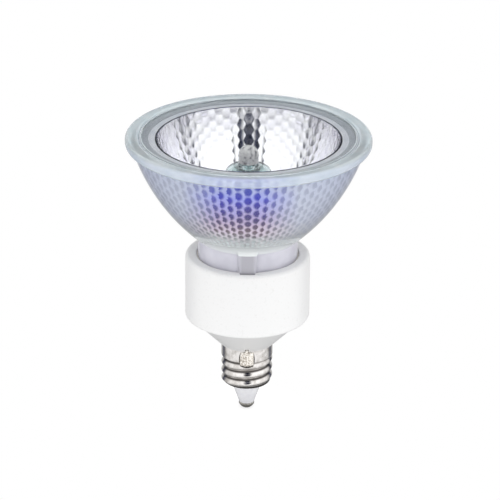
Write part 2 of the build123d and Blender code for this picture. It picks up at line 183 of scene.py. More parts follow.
def add_node(tree, kind, inputs=None, to=None, stops=None, **settings):
    """Node with its settings, its inputs as values or as sockets to link, and the socket it feeds."""
    made = tree.nodes.new(kind)
    for name, value in settings.items():
        setattr(made, name, value)
    for name, value in (inputs or {}).items():
        if isinstance(value, bpy.types.NodeSocket):
            tree.links.new(value, made.inputs[name])
        else:
            made.inputs[name].default_value = value
    if stops:
        (first, first_colour), *between, (last, last_colour) = stops
        ends = made.color_ramp.elements
        ends[0].position, ends[0].color = first, linear(first_colour)
        ends[1].position, ends[1].color = last, linear(last_colour)
        for place, colour in between:
            made.color_ramp.elements.new(place).color = linear(colour)
    if to:
        tree.links.new(made.outputs[0], to)
    return made


# Fused quartz, drawn and flame polished: clear with a faint teal cast, softened by the flame, and with
# streaks along the tube.
streak_width = 0.7 * mm
streak_depth = 0.02 * mm
streak_stretch = (1, 1, 0.5)
fused_quartz, tree, shader = new_material("fused_quartz", {
    "Base Color": linear("#E2F1F0"),
    "Roughness": 0.22,
    "IOR": 1.458,
    "Transmission Weight": 1,
})
place = add_node(tree, "ShaderNodeTexCoord")
drawn = add_node(tree, "ShaderNodeMapping", {"Vector": place.outputs["Object"], "Scale": streak_stretch})
streaks = add_node(tree, "ShaderNodeTexNoise", {"Vector": drawn.outputs[0], "Scale": 1 / streak_width})
add_node(
    tree, "ShaderNodeBump", {"Height": streaks.outputs[0], "Distance": streak_depth}, shader.inputs["Normal"]
)

# Quartz of the nub, where the flame drew it out and sealed it: clouded, with grey flecks.
fleck = 0.8 * mm
fleck_depth = 0.1 * mm
clouded_quartz, tree, shader = new_material("flame_sealed_quartz", {
    "Roughness": 0.3,
    "IOR": 1.458,
    "Transmission Weight": 0.1,
})
place = add_node(tree, "ShaderNodeTexCoord")
flecks = add_node(tree, "ShaderNodeTexNoise", {
    "Vector": place.outputs["Object"], "Scale": 1 / fleck, "Detail": 3,
})
add_node(
    tree, "ShaderNodeValToRGB", {"Fac": flecks.outputs[0]}, shader.inputs["Base Color"],
    stops=[(0.34, "#A2A2A8"), (0.44, "#ECEBEE"), (0.54, "#FFFFFF")],
)
add_node(
    tree, "ShaderNodeBump", {"Height": flecks.outputs[0], "Distance": fleck_depth}, shader.inputs["Normal"]
)

capsule_finishes = [fused_quartz, clouded_quartz]
bm = bmesh.new()
outer_rings = [ring(0, 0, capsule_low.z)]
outer_rings.append(ring(pinch_half_width, pinch_half_depth, capsule_low.z, pinch_squareness))
for step in range(blend_steps):
    share = eased(step, 0, blend_steps)
    outer_rings.append(ring(
        pinch_half_width + (bulb_radius - pinch_half_width) * share,
        pinch_half_depth + (bulb_radius - pinch_half_depth) * share,
        capsule_low.z + pinch_height + pinch_blend * step / blend_steps,
        pinch_squareness + (2 - pinch_squareness) * share,
    ))
bulb_outline = softened([
    (bulb_radius, bulb_bottom, 0),
    (bulb_radius, shoulder_height, bulb_round),
    (nub_radius, shoulder_height, nub_foot_round),
    (nub_radius, nub_top, nub_tip_round),
    (0, nub_top, 0),
])
outer_rings += [ring(max(radius, 0), max(radius, 0), height) for radius, height in bulb_outline]
for face in skin(bm, outer_rings):
    if face.calc_center_median().z > shoulder_height + nub_foot_round:
        face.material_index = capsule_finishes.index(clouded_quartz)
bore_radius = bulb_radius - bulb_wall
bore_outline = softened([
    (0, bulb_bottom - bulb_wall, 0),
    (bore_radius, bulb_bottom - bulb_wall, bore_foot_round),
    (bore_radius, shoulder_height - bulb_wall, bore_shoulder_round),
    (nub_bore_radius, shoulder_height - bulb_wall, nub_bore_foot_round),
    (nub_bore_radius, nub_top - nub_tip_wall, nub_bore_tip_round),
    (0, nub_top - nub_tip_wall, 0),
])
bmesh.ops.reverse_faces(bm, faces=turned(bm, bore_outline))
capsule = add_piece("quartz_capsule", bm, capsule_finishes)
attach(capsule, "root")
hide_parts("capsule_bulb")


# Filament, leads and foils
# A coil of tungsten wire between two leads of molybdenum. Thin foils carry the current through the pinch,
# where each is spot welded to an inner and an outer lead.

# Draw marks are finer on the real wire. They are this coarse so that a close view shows them.
draw_line_width = 0.08 * mm
draw_line_depth = 0.004 * mm
coarse_line_width = 0.16 * mm

# Drawn tungsten: dark grey metal with a dull shine and fine lines along the wire.
tungsten_wire, tree, shader = new_material("drawn_tungsten", {"Metallic": 1, "Roughness": 0.42})
place = add_node(tree, "ShaderNodeTexCoord")
lines = add_node(
    tree, "ShaderNodeTexNoise", {"Vector": place.outputs["Object"], "Scale": 1 / draw_line_width}
)
add_node(
    tree, "ShaderNodeValToRGB", {"Fac": lines.outputs[0]}, shader.inputs["Base Color"],
    stops=[(0.35, "#4B4947"), (0.65, "#77746F")],
)
add_node(
    tree, "ShaderNodeBump", {"Height": lines.outputs[0], "Distance": draw_line_depth}, shader.inputs["Normal"]
)
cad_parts["filament"].material_slots[0].material = tungsten_wire

# Molybdenum wire and foil: paler silver-grey metal, rolled or drawn, with a satin face.
molybdenum, tree, shader = new_material("rolled_molybdenum", {"Metallic": 1, "Roughness": 0.32})
place = add_node(tree, "ShaderNodeTexCoord")
lines = add_node(
    tree, "ShaderNodeTexNoise", {"Vector": place.outputs["Object"], "Scale": 1 / coarse_line_width}
)
add_node(
    tree, "ShaderNodeValToRGB", {"Fac": lines.outputs[0]}, shader.inputs["Base Color"],
    stops=[(0.3, "#86868A"), (0.7, "#B4B4B6")],
)
add_node(
    tree, "ShaderNodeBump", {"Height": lines.outputs[0], "Distance": draw_line_depth}, shader.inputs["Normal"]
)
for node in (
    "inner_lead_short", "inner_lead_long", "seal_foil_left", "seal_foil_right",
    "outer_lead_left", "outer_lead_right",
):
    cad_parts[node].material_slots[0].material = molybdenum


# Reflector
# One pressing of hard glass: rim, ledge for the front glass, bowl, neck and a rib that keys it in the base.
# The plunger left a honeycomb inside, which carries the mirror. Rim and ledge are ground, the rest is bright.
rim_overhang = 1.3 * mm
rim_thickness = 2.0 * mm
rim_round = 0.8 * mm
rim_inner_round = 0.7 * mm
rim_face_width = 2.8 * mm
rim_fillet = 0.25 * mm
rim_margin = 0.2 * mm
ledge_width = 3.5 * mm
ledge_fillet = 0.15 * mm
ledge_margin = 0.05 * mm
mouth_shadow_width = 0.25 * mm
haze_start = 0.3 * mm
haze_rise = 5.0 * mm
bowl_depth = 20.0 * mm
bowl_bulge = 1.73 * mm
neck_radius = 10.2 * mm
neck_length = 9.0 * mm
neck_round = 0.5 * mm
neck_rings = 20
bore_round = 0.3 * mm
wall_margin = 0.1 * mm
throat_radius = 6.6 * mm
throat_rise = 1.9 * mm
throat_margin = 0.6 * mm
mirror_bulge = 1.8 * mm
facets_around = 36
facet_stretch = 0.55
facet_dome = 0.12 * mm
facet_grid = 4
facet_join = 0.04 * mm
facet_sliver = 0.005 * mm
facet_crease = radians(25)
trim_tolerance = 0.0001 * mm
rows_above_ledge = 4
# How far each facet's painted reflection spot drifts outwards, and the most that it may
spot_drift = 0.19
spot_limit = 0.6
rib_top_width = 3.9 * mm
rib_low_width = 2.8 * mm
rib_height = 1.1 * mm
rib_edge = 0.35 * mm
reflector_low, reflector_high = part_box("reflector")
seal_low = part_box("front_glass_seal")[0]
rim_radius = reflector_high.x
rim_top = reflector_high.z
rim_bottom = rim_top - rim_thickness
ledge_height = seal_low.z
neck_bottom = reflector_low.z
neck_top = neck_bottom + neck_length
throat_top = neck_top + throat_rise
bowl_top_radius = rim_radius - rim_overhang
recess_radius = rim_radius - rim_face_width
mouth_radius = recess_radius - ledge_width
mirror_throat_radius = throat_radius + throat_margin
# Weight of the upright distance in a facet, with which the reach from its middle is 1 at all six corners
upright_share = 0.75


def bulged(start, end, bulge, steps=28):
    """Points on an arc from start to end that stands off its chord by the bulge, both ends left out."""
    start, end = Vector(start), Vector(end)
    chord = (end - start).length
    radius = (chord * chord / 4 + bulge * bulge) / (2 * bulge)
    outward = Vector((end.y - start.y, start.x - end.x)).normalized()
    middle = (start + end) / 2 - outward * (radius - bulge)
    sweep = (start - middle).angle_signed(end - middle)
    turns = [Matrix.Rotation(-sweep * step / steps, 2) for step in range(1, steps)]
    return [middle + turn @ (start - middle) for turn in turns]


# Mirror curve, an arc from the mouth down to the throat, as in the CAD model
chord_run = mouth_radius - mirror_throat_radius
chord_drop = ledge_height - throat_top
chord = hypot(chord_run, chord_drop)
arc_radius = (chord * chord / 4 + mirror_bulge * mirror_bulge) / (2 * mirror_bulge)
centre_offset = arc_radius - mirror_bulge
arc_centre_radius = (mouth_radius + mirror_throat_radius) / 2 - chord_drop / chord * centre_offset
arc_centre_height = (ledge_height + throat_top) / 2 + chord_run / chord * centre_offset
half_cell = pi / facets_around
mouth_slope = atan2(arc_centre_height - ledge_height, mouth_radius - arc_centre_radius)
row_slopes = []
slope = mouth_slope
row_step = 0
while not row_slopes or arc_centre_radius + arc_radius * cos(slope) > throat_radius:
    row_step = facet_stretch * half_cell * sqrt(
        (arc_centre_radius + arc_radius * cos(slope)) * cos(slope) / arc_radius
    )
    slope = slope + row_step if row_slopes else mouth_slope - rows_above_ledge * row_step
    row_slopes.append(slope)
# Rows of whole facets, which need two more rows above them and two below to meet
facet_rows = range(2, len(row_slopes) - 2)


def facet_plane(row, turn):
    """Outward normal and distance of the plane that touches the mirror in this row, at this azimuth."""
    slope = row_slopes[row]
    normal = Vector((cos(slope) * cos(turn), cos(slope) * sin(turn), -sin(slope)))
    return normal, arc_centre_radius * cos(slope) - arc_centre_height * sin(slope) + arc_radius


def facet_corner(row, turn, side):
    """Corner where a facet meets the one two half rows below it and the facet beside both."""
    first, first_distance = facet_plane(row, turn)
    below, below_distance = facet_plane(row + 2, turn)
    beside, beside_distance = facet_plane(row + 1, turn + side * half_cell)
    meeting = below.cross(beside) * first_distance
    meeting += beside.cross(first) * below_distance + first.cross(below) * beside_distance
    return meeting / first.dot(below.cross(beside))


def add_facet(bm, row, turn, dome, inset):
    """One domed six-sided facet, set inwards from the glass by the inset. The dome falls to nothing at the
    corners. The points keep how far they lie from the facet's spot, where the film's colour paints a
    reflection; the spot drifts outwards as a reflection does."""
    spot_layer = bm.verts.layers.float["spot_reach"]
    corners = [
        facet_corner(row - 2, turn, -1),
        facet_corner(row - 2, turn, 1),
        facet_corner(row - 1, turn + half_cell, -1),
        facet_corner(row, turn, 1),
        facet_corner(row, turn, -1),
        facet_corner(row - 1, turn - half_cell, 1),
    ]
    middle = sum(corners, Vector()) / 6
    half_width = (corners[2] - corners[5]).length / 2
    half_height = (corners[0] + corners[1] - corners[3] - corners[4]).length / 4
    sideways = (corners[2] - corners[5]).normalized()
    normal = facet_plane(row, turn)[0]
    drift = spot_drift * middle.x * sideways.x / half_width
    drift = max(-spot_limit, min(spot_limit, drift))
    for left, right in zip(corners, corners[1:] + corners[:1]):
        grid = []
        for out in range(facet_grid + 1):
            line = []
            for along in range(out + 1):
                spot = (left - middle) * (out - along) / facet_grid
                spot += (right - middle) * along / facet_grid
                across = spot.dot(sideways)
                upright = upright_share * (spot.length_squared - across * across) / half_height ** 2
                reach = (across / half_width) ** 2 + upright
                vertex = bm.verts.new(middle + spot - normal * (dome * (1 - reach) + inset))
                vertex[spot_layer] = (across / half_width - drift) ** 2 + upright
                line.append(vertex)
            grid.append(line)
        for inner, outer in zip(grid, grid[1:]):
            for along, vertex in enumerate(inner):
                bm.faces.new((vertex, outer[along], outer[along + 1]))
                if along:
                    bm.faces.new((inner[along - 1], outer[along], vertex))


def honeycomb(bm, dome, inset):
    """The whole mirror surface, trimmed level with the ledge and at the throat."""
    bm.verts.layers.float.new("spot_reach")
    for cell in range(facets_around):
        for row in facet_rows:
            add_facet(bm, row, 2 * half_cell * (cell + row % 2 / 2) - pi / 2, dome, inset)
    bmesh.ops.remove_doubles(bm, verts=bm.verts, dist=facet_join)
    for height, away in ((ledge_height, 1), (throat_top, -1)):
        bmesh.ops.bisect_plane(
            bm,
            geom=list(bm.verts) + list(bm.edges) + list(bm.faces),
            dist=trim_tolerance,
            plane_co=(0, 0, height),
            plane_no=(0, 0, away),
            clear_outer=True,
        )
    bmesh.ops.dissolve_degenerate(bm, edges=bm.edges, dist=facet_sliver)


# Pressed borosilicate glass, fire polished: clear, with the soft waves that the mould leaves. Towards the
# neck it turns milky with the light that it gathers there.
mould_wave = 3.0 * mm
mould_wave_depth = 0.012 * mm
neck_clearness = 0.25
pressed_glass, tree, shader = new_material("pressed_borosilicate_glass", {
    "Base Color": linear("#F8FCFC"),
    "Roughness": 0.03,
    "IOR": 1.47,
})
place = add_node(tree, "ShaderNodeTexCoord")
axes = add_node(tree, "ShaderNodeSeparateXYZ", {0: place.outputs["Object"]})
add_node(tree, "ShaderNodeMapRange", {
    "Value": axes.outputs["Z"],
    "From Min": neck_top,
    "From Max": neck_top + haze_rise,
    "To Min": neck_clearness,
}, shader.inputs["Transmission Weight"])
waves = add_node(tree, "ShaderNodeTexNoise", {"Vector": place.outputs["Object"], "Scale": 1 / mould_wave})
add_node(tree, "ShaderNodeBump", {
    "Height": waves.outputs[0], "Distance": mould_wave_depth,
}, shader.inputs["Normal"])

# The same glass where it is ground: fine grit scatters the light, so it looks frosted and pale blue-grey.
# Real grit is finer. It is this coarse so that a close view shows it.
grit = 0.12 * mm
grit_depth = 0.01 * mm
ground_glass, tree, shader = new_material("ground_borosilicate_glass", {
    "Roughness": 0.25,
    "IOR": 1.47,
    "Transmission Weight": 0.6,
})
place = add_node(tree, "ShaderNodeTexCoord")
clouds = add_node(tree, "ShaderNodeTexNoise", {"Vector": place.outputs["Object"], "Scale": 1 / mould_wave})
add_node(
    tree, "ShaderNodeValToRGB", {"Fac": clouds.outputs[0]}, shader.inputs["Base Color"],
    stops=[(0.3, "#D9E6EB"), (0.7, "#E8F0F3")],
)
grains = add_node(tree, "ShaderNodeTexNoise", {"Vector": place.outputs["Object"], "Scale": 1 / grit})
add_node(
    tree, "ShaderNodeBump", {"Height": grains.outputs[0], "Distance": grit_depth}, shader.inputs["Normal"]
)

# The neck, hazed by the cement behind it: pale lavender and hardly clear, and greyer where the rib is thick.
hazed_glass, tree, shader = new_material("cement_backed_glass", {
    "Roughness": 0.22,
    "IOR": 1.47,
    "Transmission Weight": 0.1,
})
place = add_node(tree, "ShaderNodeTexCoord")
haze = add_node(tree, "ShaderNodeTexNoise", {"Vector": place.outputs["Object"], "Scale": 1 / mould_wave})
pale = add_node(
    tree, "ShaderNodeValToRGB", {"Fac": haze.outputs[0]}, stops=[(0.3, "#C6C5D0"), (0.7, "#D3D2DC")]
)
axes = add_node(tree, "ShaderNodeSeparateXYZ", {0: place.outputs["Object"]})
aside = add_node(tree, "ShaderNodeMath", {0: axes.outputs["X"]}, operation="ABSOLUTE")
thick = add_node(tree, "ShaderNodeMapRange", {
    "Value": aside.outputs[0],
    "From Min": rib_top_width / 2 + rib_edge,
    "From Max": rib_low_width / 2 - rib_edge,
})
in_front = add_node(tree, "ShaderNodeMath", {0: axes.outputs["Y"], 1: 0}, operation="LESS_THAN")
rib = add_node(
    tree, "ShaderNodeMath", {0: thick.outputs[0], 1: in_front.outputs[0]}, operation="MULTIPLY"
)
add_node(tree, "ShaderNodeMixRGB", {
    "Fac": rib.outputs[0], "Color1": pale.outputs[0], "Color2": linear("#ABAAB2"),
}, shader.inputs["Base Color"])
add_node(
    tree, "ShaderNodeBump", {"Height": haze.outputs[0], "Distance": mould_wave_depth}, shader.inputs["Normal"]
)

# The ledge, ground flat and dusted with adhesive: matt and pale blue-grey.
ground_ledge, tree, shader = new_material("ground_ledge_glass", {"Roughness": 0.4, "IOR": 1.47})
place = add_node(tree, "ShaderNodeTexCoord")
dust = add_node(tree, "ShaderNodeTexNoise", {"Vector": place.outputs["Object"], "Scale": 1 / mould_wave})
add_node(
    tree, "ShaderNodeValToRGB", {"Fac": dust.outputs[0]}, shader.inputs["Base Color"],
    stops=[(0.3, "#E2E7F0"), (0.7, "#F2F4FA")],
)

# Where the film ends at the mouth, a fine dark line is painted: painted shadow of the gap between the film's
# edge and the ledge.
mouth_shadow_line, tree, shader = new_material("painted_mouth_shadow", {"Roughness": 0.35})
place = add_node(tree, "ShaderNodeTexCoord")
clouds = add_node(tree, "ShaderNodeTexNoise", {"Vector": place.outputs["Object"], "Scale": 1 / mould_wave})
add_node(
    tree, "ShaderNodeValToRGB", {"Fac": clouds.outputs[0]}, shader.inputs["Base Color"],
    stops=[(0.3, "#18181C"), (0.7, "#2C2D34")],
)

# Back of the interference film: pale silver that lets some colour through. In a band in front and behind it
# is blue below the rim, then violet, rose and pale mint towards the throat, all painted: the band stands for
# light let through and reflected where the film is seen from the front. Each facet has a deeper painted spot,
# a painted reflection that drifts outwards as a reflection does, and there the film also throws back less.
# The webs between the spots carry painted highlights, most of all low down. To both sides the film is silver
# with fainter spots, painted shade on each cell.
patch = 2.5 * mm
patch_share = 0.12
spot_core = 0.3
spot_end = 0.95
side_spot_share = 0.46
blue_middle = -1.3 * mm
blue_half_width = 4.0 * mm
plain_half_width = 10.5 * mm
web_ior = 2.0
web_start = 0.5
low_web_ior = 4.0
low_web_end = 0.2
spot_ior = 1.35
film_back, tree, shader = new_material("interference_film_back", {"Roughness": 0.12})
place = add_node(tree, "ShaderNodeTexCoord")
axes = add_node(tree, "ShaderNodeSeparateXYZ", {0: place.outputs["Object"]})
height = add_node(tree, "ShaderNodeMapRange", {
    "Value": axes.outputs["Z"],
    "From Min": throat_top,
    "From Max": ledge_height,
})
patches = add_node(tree, "ShaderNodeTexNoise", {"Vector": place.outputs["Object"], "Scale": 1 / patch})
uneven = add_node(tree, "ShaderNodeMath", {
    0: patches.outputs[0], 1: patch_share, 2: height.outputs[0],
}, operation="MULTIPLY_ADD")
# Web colours by height, lightest low down: film tint with painted highlights
web_tint_and_highlight = add_node(tree, "ShaderNodeValToRGB", {"Fac": uneven.outputs[0]}, stops=[
    (0.1, "#F5FFFF"),
    (0.25, "#FFFBFF"),
    (0.36, "#F3DCF3"),
    (0.48, "#D7BDDE"),
    (0.58, "#BDA7E1"),
    (0.68, "#B1A6EF"),
    (0.84, "#99A0FF"),
    (0.95, "#B4BEFC"),
])
# Spot colours by height: painted reflection of the dark front
painted_spot_reflections = add_node(tree, "ShaderNodeValToRGB", {"Fac": uneven.outputs[0]}, stops=[
    (0.2, "#EEF7F7"),
    (0.32, "#8A7F8B"),
    (0.4, "#6B4E66"),
    (0.49, "#553A74"),
    (0.58, "#3F2B7C"),
    (0.68, "#33229A"),
    (0.84, "#2428C8"),
    (0.95, "#3A48C4"),
])
sides = add_node(tree, "ShaderNodeValToRGB", {"Fac": uneven.outputs[0]}, stops=[
    (0.1, "#FAFCFC"),
    (0.25, "#EFEEF4"),
    (0.5, "#DFE2F6"),
    (0.95, "#DEE3FC"),
])
reach = add_node(tree, "ShaderNodeAttribute", attribute_name="spot_reach")
spot = add_node(tree, "ShaderNodeMapRange", {
    "Value": reach.outputs["Fac"], "From Min": spot_end, "From Max": spot_core,
})
spotted = add_node(tree, "ShaderNodeMixRGB", {
    "Fac": spot.outputs[0], "Color1": web_tint_and_highlight.outputs[0], "Color2": painted_spot_reflections.outputs[0],
})
# To both sides the spots are fainter: painted shade on each cell
painted_side_shade = add_node(tree, "ShaderNodeMapRange", {"Value": spot.outputs[0], "To Max": side_spot_share})
silver = add_node(tree, "ShaderNodeMixRGB", {
    "Fac": painted_side_shade.outputs[0], "Color1": sides.outputs[0], "Color2": linear("#7E84A2"),
})
# Only a band in front and behind carries the painted colours; outside it the film is silver
off_middle = add_node(
    tree, "ShaderNodeMath", {0: axes.outputs["X"], 1: blue_middle}, operation="SUBTRACT"
)
aside = add_node(tree, "ShaderNodeMath", {0: off_middle.outputs[0]}, operation="ABSOLUTE")
plain = add_node(tree, "ShaderNodeMapRange", {
    "Value": aside.outputs[0],
    "From Min": blue_half_width,
    "From Max": plain_half_width,
})
add_node(tree, "ShaderNodeMixRGB", {
    "Fac": plain.outputs[0], "Color1": spotted.outputs[0], "Color2": silver.outputs[0],
}, shader.inputs["Base Color"])
gloss = add_node(tree, "ShaderNodeMapRange", {
    "Value": uneven.outputs[0],
    "From Min": low_web_end,
    "From Max": web_start,
    "To Min": low_web_ior,
    "To Max": web_ior,
})
add_node(tree, "ShaderNodeMapRange", {
    "Value": spot.outputs[0], "To Min": gloss.outputs[0], "To Max": spot_ior,
}, shader.inputs["IOR"])

reflector_finishes = [pressed_glass, ground_glass, film_back, hazed_glass, mouth_shadow_line, ground_ledge]
ground_index = reflector_finishes.index(ground_glass)
film_index = reflector_finishes.index(film_back)
neck_index = reflector_finishes.index(hazed_glass)
mouth_shadow_index = reflector_finishes.index(mouth_shadow_line)
ledge_index = reflector_finishes.index(ground_ledge)
half_way = neck_top + bowl_depth / 2
bm = bmesh.new()
honeycomb(bm, facet_dome, 0)
for face in bm.faces:
    face.material_index = film_index
honeycomb_edges = [edge for edge in bm.edges if edge.is_boundary]
mouth_edges = [edge for edge in honeycomb_edges if edge.verts[0].co.z > half_way]
throat_edges = [edge for edge in honeycomb_edges if edge.verts[0].co.z < half_way]
glass_outline = softened([
    (throat_radius, throat_top - throat_margin / 2, 0),
    (throat_radius, neck_bottom, bore_round),
    (neck_radius, neck_bottom, neck_round),
] + [
    (neck_radius, neck_bottom + neck_length * step / neck_rings, 0) for step in range(2, neck_rings)
] + [
    (neck_radius, neck_top, neck_round),
] + [
    (*point, 0) for point in bulged((neck_radius, neck_top), (bowl_top_radius, rim_bottom), bowl_bulge)
] + [
    (bowl_top_radius, rim_bottom, rim_fillet),
    (rim_radius, rim_bottom, rim_round),
    (rim_radius, rim_top, rim_round),
    (recess_radius, rim_top, rim_inner_round),
    (recess_radius, ledge_height, ledge_fillet),
    (mouth_radius + mouth_shadow_width, ledge_height, 0),
])
outer_faces = turned(bm, glass_outline, steps=2 * ring_steps)
for face in outer_faces:
    middle = face.calc_center_median()
    if middle.z > rim_bottom - rim_margin:
        face.material_index = ground_index
    if abs(middle.z - ledge_height) < ledge_margin:
        face.material_index = ledge_index
    if middle.z < neck_top + haze_start:
        face.material_index = neck_index
    if middle.xy.length < throat_radius + wall_margin:
        face.material_index = film_index
for vertex in {vertex for face in outer_faces for vertex in face.verts}:
    spot = vertex.co
    above_rib = spot.z > neck_top + 2 * rib_height
    if spot.y > 0 or above_rib or hypot(spot.x, spot.y) < neck_radius - wall_margin:
        continue
    width = rib_low_width + (rib_top_width - rib_low_width) * (spot.z - neck_bottom) / neck_length
    inside = max(0, min(1, (width / 2 - abs(spot.x)) / rib_edge + 0.5))
    below_top = max(0, min(1, (neck_top + rib_height - spot.z) / rib_edge))
    stand_off = neck_radius + rib_height - hypot(spot.x, spot.y)
    if stand_off > 0:
        spot.y -= stand_off * inside * below_top
outer_edges = [edge for edge in bm.edges if edge.is_boundary and edge not in honeycomb_edges]
bore_edges = [edge for edge in outer_edges if edge.verts[0].co.z < half_way]
ledge_edges = [edge for edge in outer_edges if edge.verts[0].co.z > half_way]
# The faces from the film's edge to the ledge carry the painted shadow line
for face in bmesh.ops.bridge_loops(bm, edges=mouth_edges + ledge_edges)["faces"]:
    face.material_index = mouth_shadow_index
for face in bmesh.ops.bridge_loops(bm, edges=throat_edges + bore_edges)["faces"]:
    face.material_index = film_index
bmesh.ops.recalc_face_normals(bm, faces=bm.faces)
reflector = add_piece("reflector_glass", bm, reflector_finishes, facet_crease)
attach(reflector, "root")
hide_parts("reflector")


# Mirror film
# The interference layers that were evaporated on the honeycomb, seen from the lamp's mouth. They are far
# thinner than a hair on the real lamp, and here a skin of two hundredths of a millimetre.
film_gap = 0.02 * mm
film_thickness = 0.02 * mm
mirror_dome = 0.045 * mm

# Evaporated oxide layers on fire-polished facets: a bright, neutral mirror with a breath of lavender,
# clearest in the middle and duller to both sides.
clear_half_width = 7.0 * mm
clear_roughness = 0.03
dull_half_width = 13.0 * mm
dull_roughness = 0.16
mirror_film, tree, shader = new_material("interference_film_front", {"Metallic": 1})
place = add_node(tree, "ShaderNodeTexCoord")
axes = add_node(tree, "ShaderNodeSeparateXYZ", {0: place.outputs["Object"]})
aside = add_node(tree, "ShaderNodeMath", {0: axes.outputs["X"]}, operation="ABSOLUTE")
add_node(tree, "ShaderNodeMapRange", {
    "Value": aside.outputs[0],
    "From Min": clear_half_width,
    "From Max": dull_half_width,
    "To Min": clear_roughness,
    "To Max": dull_roughness,
}, shader.inputs["Roughness"])
patches = add_node(tree, "ShaderNodeTexNoise", {"Vector": place.outputs["Object"], "Scale": 1 / patch})
add_node(
    tree, "ShaderNodeValToRGB", {"Fac": patches.outputs[0]}, shader.inputs["Base Color"],
    stops=[(0.3, "#F0EFF6"), (0.7, "#FAFAFC")],
)

bm = bmesh.new()
honeycomb(bm, mirror_dome, facet_dome + film_gap + film_thickness)
bmesh.ops.recalc_face_normals(bm, faces=bm.faces)
bmesh.ops.solidify(bm, geom=list(bm.faces), thickness=film_thickness)
bmesh.ops.recalc_face_normals(bm, faces=bm.faces)
mirror = add_piece("mirror_film", bm, [mirror_film], facet_crease)
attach(mirror, "root")


# Capsule cement
# White ceramic cement, poured round the pinch in the throat and fired, with pores and a dry face. The same
# cement holds the reflector's neck in the base.
pore = 0.35 * mm
pore_depth = 0.05 * mm

# Fired cement: matt and off-white, mottled by its filler.
fired_cement, tree, shader = new_material("fired_cement", {"Roughness": 0.9})
place = add_node(tree, "ShaderNodeTexCoord")
pores = add_node(tree, "ShaderNodeTexNoise", {
    "Vector": place.outputs["Object"], "Scale": 1 / pore, "Detail": 4,
})
add_node(
    tree, "ShaderNodeValToRGB", {"Fac": pores.outputs[0]}, shader.inputs["Base Color"],
    stops=[(0.3, "#C6C2B8"), (0.65, "#E7E4DC")],
)
add_node(
    tree, "ShaderNodeBump", {"Height": pores.outputs[0], "Distance": pore_depth}, shader.inputs["Normal"]
)
for node in ("capsule_cement", "base_cement"):
    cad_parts[node].material_slots[0].material = fired_cement


# Front glass and its seal
# A flat round cover of float glass with seamed edges, bedded on a thin ring of silicone on the ledge. It
# closes the bowl, so that nothing touches the hot capsule.
front_low, front_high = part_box("front_glass")
front_bevel = 0.3 * mm
seal_gap = 0.02 * mm
float_wave = 9.0 * mm
float_wave_depth = 0.004 * mm

# Float glass: clear, flat and all but colourless. A thin coating keeps it from throwing back much light, and
# an index below that of plain glass stands for it.
float_glass, tree, shader = new_material("float_glass", {
    "Base Color": linear("#FDFEFE"),
    "Roughness": 0.01,
    "IOR": 1.3,
    "Transmission Weight": 1,
})
place = add_node(tree, "ShaderNodeTexCoord")
waves = add_node(tree, "ShaderNodeTexNoise", {"Vector": place.outputs["Object"], "Scale": 1 / float_wave})
add_node(tree, "ShaderNodeBump", {
    "Height": waves.outputs[0], "Distance": float_wave_depth,
}, shader.inputs["Normal"])

front_finishes = [float_glass, ground_glass]
bm = bmesh.new()
plate = turned(bm, softened([
    (0, front_low.z + seal_gap, 0),
    (front_high.x, front_low.z + seal_gap, front_bevel),
    (front_high.x, front_high.z, front_bevel),
    (0, front_high.z, 0),
]))
for face in plate:
    if face.calc_center_median().xy.length > front_high.x - front_bevel:
        face.material_index = front_finishes.index(ground_glass)
front_glass = add_piece("front_cover_glass", bm, front_finishes)
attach(front_glass, "root")
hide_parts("front_glass")

# Silicone: squeezed flat, smooth and grey, with small bubbles.
bubble = 0.5 * mm
silicone, tree, shader = new_material("silicone_seal", {"Roughness": 0.4})
place = add_node(tree, "ShaderNodeTexCoord")
bubbles = add_node(tree, "ShaderNodeTexNoise", {"Vector": place.outputs["Object"], "Scale": 1 / bubble})
add_node(
    tree, "ShaderNodeValToRGB", {"Fac": bubbles.outputs[0]}, shader.inputs["Base Color"],
    stops=[(0.3, "#B2B8C0"), (0.7, "#C8CDD4")],
)
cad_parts["front_glass_seal"].material_slots[0].material = silicone

# The bead of it that was squeezed up between the edge of the glass and the rim.
bead_margin = 0.01 * mm
bead_fall = 0.25 * mm
bm = bmesh.new()
turned(bm, [
    Vector((front_high.x + bead_margin, front_low.z)),
    Vector((recess_radius - bead_margin, front_low.z)),
    Vector((recess_radius - bead_margin, front_high.z - bead_fall)),
    Vector((front_high.x + bead_margin, front_high.z - bead_fall)),
], closed=True)
seal_bead = add_piece("silicone_bead", bm, [silicone])
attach(seal_bead, "root")


# Ceramic base
# One pressing of white steatite, fired unglazed: a barrel with a socket for the reflector's neck, a notch for
# its rib, a cone down to the cap and a spigot that the screw shell is crimped on.
ceramic_low, ceramic_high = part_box("ceramic_base")
ceramic_radius = ceramic_high.x
ceramic_top = ceramic_high.z
spigot_bottom = ceramic_low.z
cone_rise = 6.1 * mm
cone_shoulder = 1.3 * mm
foot_radius = 5.4 * mm
spigot_radius = 4.85 * mm
stem_bore_radius = 3.0 * mm
chamber_floor = 1.4 * mm
chamber_radius = 8.6 * mm
socket_radius = 10.5 * mm
socket_depth = 5.85 * mm
notch_half_width = 1.55 * mm
notch_depth = 1.25 * mm
wire_slot_half_width = 0.35 * mm
wire_slot_height = 0.85 * mm
barrel_round = 0.8 * mm
cone_round = 0.9 * mm
chamber_round = 0.5 * mm
edge_round = 0.3 * mm
spigot_round = 0.2 * mm
foot_round = 0.15 * mm

